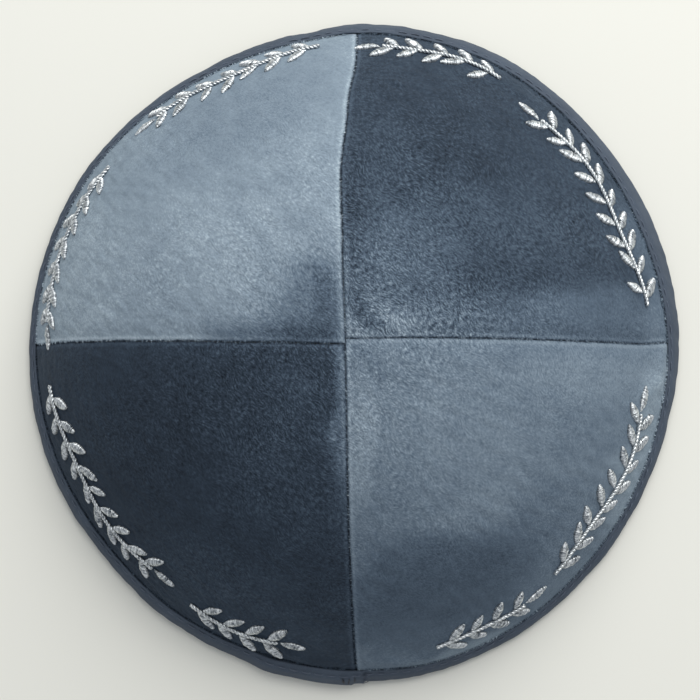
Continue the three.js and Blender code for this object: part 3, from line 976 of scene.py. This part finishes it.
def frayed_end():
    """Loose threads that stick out past the tape's cut end, each a short line with a little bend."""
    random = np.random.default_rng(7)
    along = np.linspace(0, 1, 7)
    shape = (FRAY_THREADS, 1)
    reach = random.uniform(0.5, 2.6, shape) * MM
    lift, sag = random.uniform(-0.5, 0.5, shape), random.normal(0, 0.4, shape)
    place = np.linspace(-4.2, 1.2, FRAY_THREADS)[:, None] * MM
    azimuth = np.radians(LAP_TO - 0.2) + along * reach / RIM_RADIUS
    below = place + (lift * along + sag * along**2) * MM
    out = EDGE_ROUND + LAP_THICKNESS * random.uniform(0.1, 0.45, shape) - 0.5 * MM * along**2
    radius = FRAY_RADIUS * (1 - 0.4 * along)
    return tubes(rim_point(azimuth, below, out), radius, [0.0, 0.0, 1.0], 5)


def lap_stitches():
    """Dark stitches that hold the lapped end down: three pairs, laid across the tape from top to edge."""
    along = np.linspace(-1, 1, 8)
    turn = np.radians(np.array([-1.5, -1.3, -0.5, -0.35, 0.5, 0.62]) + LAP_FOLD)[:, None] + 0 * along
    middle = np.array([-2.4, -1.9, -1.2, -2.7, -1.6, -2.2])[:, None] * MM
    below = middle + along * 1.1 * MM
    outside = EDGE_ROUND + lap_at(turn)
    out = np.where(below > 0, np.sqrt(np.maximum(outside**2 - below**2, 0)), outside)
    paths = rim_point(turn, below, out + 0.16 * MM * (1 - along**4) - 0.1 * MM)
    return tubes(paths, THREAD_RADIUS, normal_at(turn, np.ones_like(turn)), 5)


points, faces = merge([tape_stitches(1), tape_stitches(-1), frayed_end()])
stitches = add_piece("tape_stitches", points, faces, [TAPE_THREAD])
points, faces = lap_stitches()
lap_threads = add_piece("lap_stitches", points, faces, [DARK_THREAD])

# %% [markdown]
# ## The embroidery
# Silver thread is laid in satin stitch: each leaf is a row of threads side by side, every one arched
# from edge to edge, so light breaks up along it. Bump on flat leaf shapes would look printed, and
# at the rim they are seen from the side. So every thread is a real tube. Sprays of leaves on a
# twisted stem fill eight spans round the cap, a plain pattern of no one's own.

# %% Embroidery: the sprays
# Azimuths where a spray starts and ends, in degrees, and how far down the dome its stem runs.
SPRAYS = [
    (8, 50, 0.845), (61, 84, 0.875), (96, 130, 0.885), (143, 175, 0.88),
    (187, 228, 0.85), (238, 256, 0.87), (286, 304, 0.87), (312, 347, 0.85),
]
LEAF_PITCH = 6.3 * MM
LEAF_LENGTH, LEAF_WIDTH, LEAF_RISE = 7.6 * MM, 2.9 * MM, 0.9 * MM
LEAF_THREADS = 24
LEAF_ANGLE = 50
STEM_SWAY, STEM_WAVE = 0.012, 30
METAL_THREAD_RADIUS = 0.17 * MM
STRAND_RADIUS, TWIST_RADIUS, TWIST_PITCH = 0.32 * MM, 0.28 * MM, 2.2 * MM


def stem_share(azimuth, level):
    """The stem's own slow wave up and down about its level."""
    return level + STEM_SWAY * np.sin(np.degrees(azimuth) * 2 * np.pi / STEM_WAVE)


def leaf_places():
    """One row for each leaf: azimuth and share of its root, its bearing, and its size."""
    random = np.random.default_rng(3)
    rows = []
    for start, end, level in SPRAYS:
        span = np.radians(end - start)
        count = int(round(span * RIM_RADIUS * 0.92 / LEAF_PITCH))
        azimuth = np.radians(start) + span * (np.arange(count) + 0.4) / count
        share = stem_share(azimuth, level)
        for side in (1, -1):
            lean = side * np.radians(LEAF_ANGLE + random.normal(0, 5, count))
            size = random.uniform(0.85, 1.1, count)
            rows.append(np.stack([azimuth + side * 0.008, share, lean, size], axis=-1))
        tip = np.array([np.radians(end), stem_share(np.radians(end), level), 0, 0.9])
        rows.append(tip[None])
    return np.concatenate(rows)


def leaf_threads(leaves):
    """Threads across each leaf. Width falls off as 1 - |t|^1.8 from the middle to each tip."""
    random = np.random.default_rng(5)
    azimuth, share, lean, size = (column[:, None, None] for column in leaves.T)
    t = np.linspace(-0.93, 0.93, LEAF_THREADS)[:, None]
    s = np.linspace(-1, 1, 6)
    noise_shape = (len(leaves), LEAF_THREADS, 1)
    half_width = LEAF_WIDTH / 2 * size * (1 - np.abs(t - 0.05) ** 1.9) * random.uniform(0.88, 1.1, noise_shape)
    along = LEAF_LENGTH / 2 * size * (1 + t) + 0.5 * MM + 0.3 * s * half_width
    across = s * half_width
    rise = LEAF_RISE * (half_width / (LEAF_WIDTH / 2)) ** 0.5 * random.uniform(0.85, 1.12, noise_shape)
    height = rise * (1 - np.abs(s) ** 2.4) - 0.05 * MM
    x = along * np.cos(lean) - across * np.sin(lean)
    y = along * np.sin(lean) + across * np.cos(lean)
    azimuth, share, x, y, height = np.broadcast_arrays(azimuth, share, x, y, height)
    paths = beside_point(azimuth, share, x, y, height).reshape(-1, 6, 3)
    up = normal_at(azimuth, share).reshape(-1, 6, 3)
    radius = METAL_THREAD_RADIUS * random.uniform(0.8, 1.15, (len(paths), 1))
    # Each thread also gets a painted glint from 0 to 1: how bright its metal colour is painted.
    return tubes(paths, radius, up, 4), np.repeat(random.uniform(0, 1, len(paths)), 6 * 4 + 2)


def stem_strands(start, end, level):
    """Two strands twisted together along a stem: each is the stem's line plus a turn about it."""
    steps = int(np.radians(end - start) * RIM_RADIUS / (0.3 * MM))
    azimuth = np.radians(np.linspace(start, end, steps))
    turn = azimuth * RIM_RADIUS * 2 * np.pi / TWIST_PITCH + np.array([[0], [np.pi]])
    azimuth = np.broadcast_to(azimuth, turn.shape)
    share = stem_share(azimuth, level)
    height = 0.45 * MM + TWIST_RADIUS * np.sin(turn)
    paths = beside_point(azimuth, share, 0, TWIST_RADIUS * np.cos(turn), height)
    return tubes(paths, STRAND_RADIUS, normal_at(azimuth, share), 6)


# %% Embroidery: silver thread
def metal_thread():
    """Crinkled silver thread with painted glints: its colour runs between dark and pale metal in small flecks, and
    each thread gets its own painted brightness.
    """
    material, tree, shader = new_material("metal thread", 0.3, 0.85)
    place = add_node(tree, "ShaderNodeTexCoord").outputs["Object"]
    # Painted glints and shade: each thread's own painted brightness, and flecks that also crinkle its bump, make the
    # metal's colour pale or dark.
    own = add_node(tree, "ShaderNodeAttribute", attribute_name="painted_glint").outputs["Fac"]
    fleck = noise(tree, place, 1300.0, 2.0, 0.7)
    mask = calc(tree, "ADD", calc(tree, "MULTIPLY", own, 0.6), centred(tree, fleck, 2.4))
    mask = add_node(tree, "ShaderNodeClamp", {"Value": calc(tree, "ADD", mask, 0.3)}).outputs[0]
    tree.links.new(two_shades(tree, mask, (104, 114, 124), (244, 248, 250)), shader.inputs["Base Color"])
    link_bump(tree, shader, fleck, 0.5, 0.1 * MM)
    return material


METAL_THREAD = metal_thread()
leaves = leaf_places()
print("leaves:", len(leaves), "threads:", len(leaves) * LEAF_THREADS)

# %% Embroidery: build
# Each leaf thread's painted glint: how bright its metal colour is painted.
(points, faces), painted_glint = leaf_threads(leaves)
embroidered_leaves = add_piece(
    "embroidered_leaves", points, faces, [METAL_THREAD], attributes={"painted_glint": painted_glint}
)
points, faces = merge([stem_strands(*spray) for spray in SPRAYS])
# The stems' painted glint is an even middle value.
painted_glint = np.full(len(points), 0.5)
embroidered_stems = add_piece(
    "embroidered_stems", points, faces, [METAL_THREAD], attributes={"painted_glint": painted_glint}
)

# %% [markdown]
# ## Floor and light
# The cap lies on a pale plain surface in soft light that comes mostly from the upper right, so the
# floor is brightest there and the cap's shadow falls softly to the lower left. One large area light
# does that, and the world fills in the rest.

# %% Floor
def add_floor():
    """A wide flat plane just under the rest plane."""
    half, level = 3.0, -0.02 * MM
    mesh = bpy.data.meshes.new("floor")
    corners = [(-half, -half, level), (half, -half, level), (half, half, level), (-half, half, level)]
    mesh.from_pydata(corners, [], [(0, 1, 2, 3)])
    material, _, shader = new_material("pale floor", 0.9)
    shader.inputs["Base Color"].default_value = srgb(226, 226, 219)
    mesh.materials.append(material)
    floor = bpy.data.objects.new("floor", mesh)
    bpy.context.scene.collection.objects.link(floor)
    floor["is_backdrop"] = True


add_floor()


# %% Light
def add_light(name, place, target, size, power, shade):
    """A square area light whose -Z axis points from place to target."""
    back = np.array(place, float) - target
    distance = np.linalg.norm(back)
    back /= distance
    right = np.cross([0, 1, 0.2], back)
    right /= np.linalg.norm(right)
    light = bpy.data.lights.new(name, "AREA")
    light.size, light.energy, light.color = size, power, shade
    lamp = bpy.data.objects.new(name, light)
    turn = np.eye(4)
    turn[:3, :3] = np.stack([right, np.cross(back, right), back], axis=1)
    turn[:3, 3] = place
    lamp.matrix_world = Matrix(turn.tolist())
    bpy.context.scene.collection.objects.link(lamp)
    print(name, "stands", round(distance, 2), "metres away")


add_light("window", (0.28, 0.74, 0.7), (0.04, 0.2, 0), 1.0, 13.2, (1.0, 0.985, 0.95))
world = bpy.data.worlds.new("room")
world.use_nodes = True
background = world.node_tree.nodes["Background"]
background.inputs["Color"].default_value = (0.93, 0.96, 1.0, 1.0)
background.inputs["Strength"].default_value = 0.5
bpy.context.scene.world = world
bpy.context.scene.view_settings.view_transform = "Standard"

# %% [markdown]
# ## Sizes
# The visual pieces' box is measured and printed beside the box of the solids they stand for. Velvet
# may stand a little proud of its solid, but the cap must not grow.

# %% Sizes
def write_sizes():
    """Returns the solids' box and the visual pieces' box as two lists of corners."""
    boxes = {"cad": [list(corner) for corner in cad_box], "visual": [list(corner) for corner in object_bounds()]}
    return boxes


for kind, corners in write_sizes().items():
    print(kind, [[round(v / MM, 2) for v in corner] for corner in corners])
